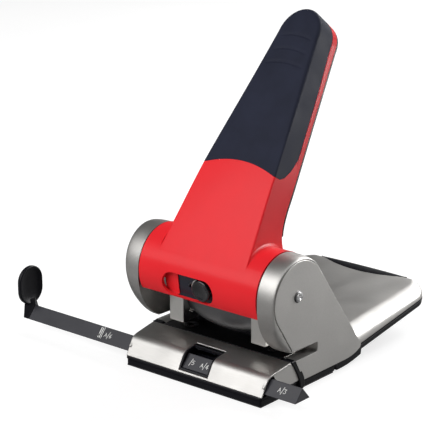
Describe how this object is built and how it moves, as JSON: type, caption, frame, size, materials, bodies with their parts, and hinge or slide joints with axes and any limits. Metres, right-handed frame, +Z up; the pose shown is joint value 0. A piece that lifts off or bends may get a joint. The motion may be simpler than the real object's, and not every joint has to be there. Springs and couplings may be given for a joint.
{
  "type": "hole punch",
  "caption": "Desk hole punch with a long lever handle, metal base with an upswept tail, sliding paper guide bar with a round stop, and a hinged chip pan.",
  "frame": {"origin": "on the resting plane, midway between the two punches", "axes": "+X to the right along the line of holes, +Y to the rear, +Z up"},
  "size_m": [0.278, 0.2211, 0.265],
  "materials": {
    "cast_silver": "satin",
    "silver_cover": "satin",
    "machined_steel": "machined",
    "polished_steel": "polished",
    "guide_steel": "satin",
    "bronze": "plain",
    "black_plastic": "satin",
    "grey_plastic": "matte",
    "foot_rubber": "matte",
    "red_enamel": "gloss",
    "grip_rubber": "satin",
    "navy_enamel": "satin",
    "gloss_black": "gloss",
    "guide_plastic": "satin"
  },
  "bodies": {
    "frame": {"chassis": "machined_steel", "left_cheek": "cast_silver", "right_cheek": "cast_silver", "front_table_cover": "silver_cover", "window_bezel": "black_plastic", "guide_channel": "black_plastic", "detent_spring": "bronze", "left_band": "black_plastic", "right_band": "black_plastic", "die_plate": "machined_steel", "left_die": "polished_steel", "right_die": "polished_steel", "back_stop": "machined_steel", "upper_bridge": "machined_steel", "jaw_shield": "grey_plastic", "left_punch_guide": "guide_steel", "right_punch_guide": "guide_steel", "axle": "polished_steel", "axle_clips": "machined_steel", "rear_fairing": "silver_cover", "tail_hood": "silver_cover", "tail_base": "black_plastic", "rear_lip": "black_plastic", "rear_foot": "foot_rubber", "pan_hinge_pins": "machined_steel", "cheek_screws": "machined_steel", "guide_screws": "machined_steel", "tail_screws": "machined_steel"},
    "lever": {"handle_shell": "red_enamel", "grip_pad": "grip_rubber", "handle_liner": "black_plastic", "left_cam": "machined_steel", "right_cam": "machined_steel", "left_arm_plate": "machined_steel", "right_arm_plate": "machined_steel", "spacer_sleeve": "machined_steel", "left_bush": "bronze", "right_bush": "bronze", "lock_plate": "navy_enamel", "handle_screws": "machined_steel"},
    "lock": {"lock_knob": "gloss_black"},
    "press": {"press_beam": "machined_steel", "left_punch": "polished_steel", "right_punch": "polished_steel", "left_spring": "machined_steel", "right_spring": "machined_steel"},
    "guide": {"guide_bar": "guide_plastic", "paper_stop": "black_plastic"},
    "pan": {"chip_pan": "black_plastic", "anti_slip_mat": "foot_rubber"}
  },
  "joints": [
    {"name": "lever_hinge", "type": "hinge", "parent": "frame", "child": "lever", "pos_m": [0, -0.0105, 0.0775], "axis": [-1, 0, 0], "range_deg": [0, 60], "stiffness_Nm_per_rad": 0.6, "springref_deg": -68.75},
    {"name": "press_slide", "type": "slide", "parent": "frame", "child": "press", "axis": [0, 0, -1], "range_m": [0, 0.0111], "deforming": ["left_spring", "right_spring"]},
    {"name": "lock_slide", "type": "slide", "parent": "lever", "child": "lock", "axis": [1, 0, 0], "range_m": [-0.014, 0]},
    {"name": "guide_slide", "type": "slide", "parent": "frame", "child": "guide", "axis": [1, 0, 0], "range_m": [-0.02, 0.09]},
    {"name": "pan_hinge", "type": "hinge", "parent": "frame", "child": "pan", "pos_m": [0, 0.045, 0.005], "axis": [1, 0, 0], "range_deg": [0, 25]}
  ],
  "couplings": [
    {"joint": "press_slide", "follows": "lever_hinge", "m_per_rad": 0.0105}
  ]
}
